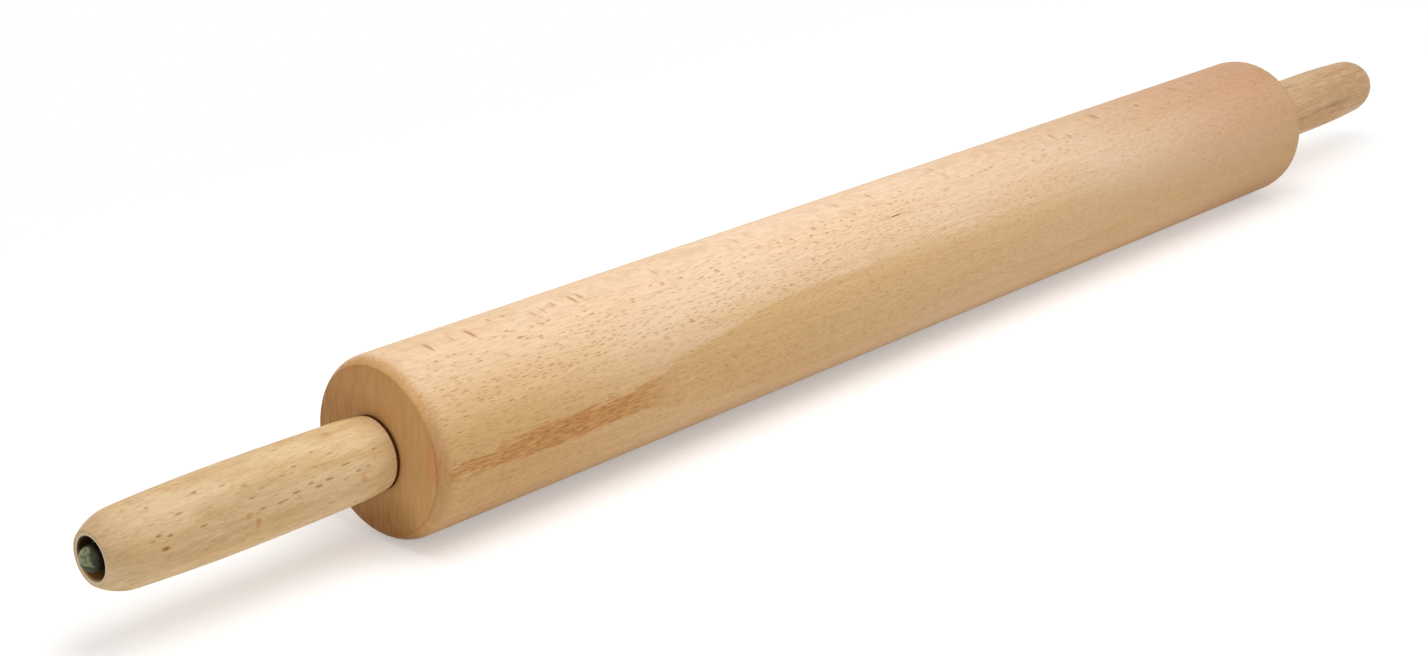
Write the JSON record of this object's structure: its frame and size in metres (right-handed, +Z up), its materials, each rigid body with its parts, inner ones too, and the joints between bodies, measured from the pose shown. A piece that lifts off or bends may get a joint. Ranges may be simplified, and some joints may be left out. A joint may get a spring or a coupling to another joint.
{
  "type": "rolling pin",
  "caption": "Long wooden rolling pin with turned handles; the roller turns on ball bearings round a steel axle.",
  "frame": {"origin": "centre of the pin: on the axle's line, at the middle of the roller", "axes": "+X along the axle towards the right (far) handle, +Z up; the left handle, with the end hole that the picture shows, is at -X"},
  "size_m": [0.8478, 0.07, 0.0698],
  "materials": {
    "roller_beech": "turned and sanded beech",
    "handle_beech": "turned and sanded beech",
    "axle_steel": "drawn bright bar",
    "nut_steel": "dull zinc plating",
    "washer_steel": "zinc plated",
    "washer_fibre": "pressed black fibre",
    "bearing_steel": "ground bearing steel",
    "shield_steel": "pressed sheet",
    "cage_nylon": "moulded nylon"
  },
  "bodies": {
    "handles_and_axle": {"axle": "axle_steel", "left_handle": "handle_beech", "left_cap_nut": "nut_steel", "left_nut_washer": "washer_steel", "left_root_washer": "washer_fibre", "left_spacer_collar": "washer_steel", "left_bearing_inner_ring": "bearing_steel", "right_handle": "handle_beech", "right_cap_nut": "nut_steel", "right_nut_washer": "washer_steel", "right_root_washer": "washer_fibre", "right_spacer_collar": "washer_steel", "right_bearing_inner_ring": "bearing_steel"},
    "roller_set": {"roller": "roller_beech", "left_bearing_outer_ring": "bearing_steel", "left_bearing_inside_shield": "shield_steel", "left_bearing_outside_shield": "shield_steel", "right_bearing_outer_ring": "bearing_steel", "right_bearing_inside_shield": "shield_steel", "right_bearing_outside_shield": "shield_steel"},
    "left_ball_set": {"left_bearing_balls": "bearing_steel", "left_bearing_cage": "cage_nylon"},
    "right_ball_set": {"right_bearing_balls": "bearing_steel", "right_bearing_cage": "cage_nylon"}
  },
  "joints": [
    {"name": "roller_spin", "type": "hinge", "parent": "handles_and_axle", "child": "roller_set", "pos_m": [0, 0, 0], "axis": [1, 0, 0], "continuous": true},
    {"name": "left_ball_orbit", "type": "hinge", "parent": "handles_and_axle", "child": "left_ball_set", "pos_m": [-0.2955, 0, 0], "axis": [1, 0, 0], "continuous": true},
    {"name": "right_ball_orbit", "type": "hinge", "parent": "handles_and_axle", "child": "right_ball_set", "pos_m": [0.2955, 0, 0], "axis": [1, 0, 0], "continuous": true}
  ],
  "couplings": [
    {"joint": "left_ball_orbit", "follows": "roller_spin", "ratio": 0.6343},
    {"joint": "right_ball_orbit", "follows": "roller_spin", "ratio": 0.6343}
  ]
}
